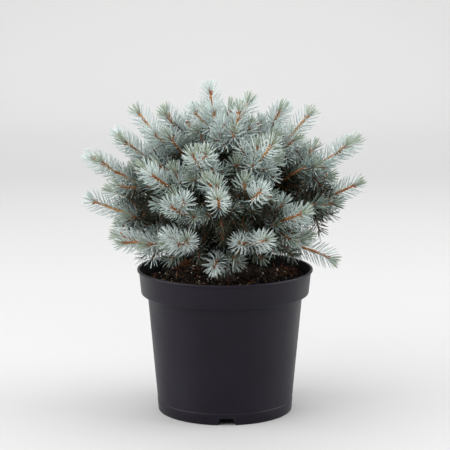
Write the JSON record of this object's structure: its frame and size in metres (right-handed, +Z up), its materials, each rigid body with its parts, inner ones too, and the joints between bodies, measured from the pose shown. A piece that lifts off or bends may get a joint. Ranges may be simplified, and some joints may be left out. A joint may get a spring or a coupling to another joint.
{
  "type": "potted blue spruce",
  "caption": "Dwarf globe blue spruce growing in a round black plastic nursery pot filled with compost, a dense low crown of blue-grey needles on short boughs.",
  "frame": {"origin": "centre of the pot's underside, on the ground, which is the bottom centre of the whole part", "axes": "+Z up along the pot's axis to the leading shoot; +X to the right and -Y towards the front, where one of the pot's four drain notches faces"},
  "size_m": [0.3659, 0.3518, 0.434],
  "materials": {
    "pot_plastic": "black moulded polypropylene with a soft sheen",
    "compost": "dark crumbly peat compost with bark fibres and white grains",
    "bark": "rough brown bark, orange-brown on young twigs",
    "needles": "stiff waxy blue-grey needles"
  },
  "bodies": {
    "root": {"pot": "pot_plastic", "soil": "compost", "trunk": "bark", "bough_top_right": "bark", "bough_top_left": "bark", "bough_crown_left": "bark", "bough_crown_right": "bark", "bough_high_right": "bark", "bough_crown_front_right": "bark", "bough_crown_front_left": "bark", "bough_crown_back": "bark", "bough_high_left": "bark", "bough_side_right": "bark", "bough_side_left": "bark", "bough_high_front_left": "bark", "bough_high_back_left": "bark", "bough_high_back_right": "bark", "bough_front_left": "bark", "bough_front": "bark", "bough_front_right": "bark", "bough_side_front_right": "bark", "bough_back": "bark", "bough_low_right": "bark", "bough_low_left": "bark", "bough_low_back_left": "bark", "bough_low_back_right": "bark", "bough_foot_left": "bark", "bough_foot_right": "bark", "bough_foot_front_left": "bark", "bough_foot_front_right": "bark", "bough_skirt": "bark", "foliage_leader": "needles", "foliage_top_right": "needles", "foliage_top_left": "needles", "foliage_crown_left": "needles", "foliage_crown_right": "needles", "foliage_high_right": "needles", "foliage_crown_front_right": "needles", "foliage_crown_front_left": "needles", "foliage_crown_back": "needles", "foliage_high_left": "needles", "foliage_side_right": "needles", "foliage_side_left": "needles", "foliage_high_front_left": "needles", "foliage_high_back_left": "needles", "foliage_high_back_right": "needles", "foliage_front_left": "needles", "foliage_front": "needles", "foliage_front_right": "needles", "foliage_side_front_right": "needles", "foliage_back": "needles", "foliage_low_right": "needles", "foliage_low_left": "needles", "foliage_low_back_left": "needles", "foliage_low_back_right": "needles", "foliage_foot_left": "needles", "foliage_foot_right": "needles", "foliage_foot_front_left": "needles", "foliage_foot_front_right": "needles", "foliage_skirt": "needles"}
  },
  "joints": []
}
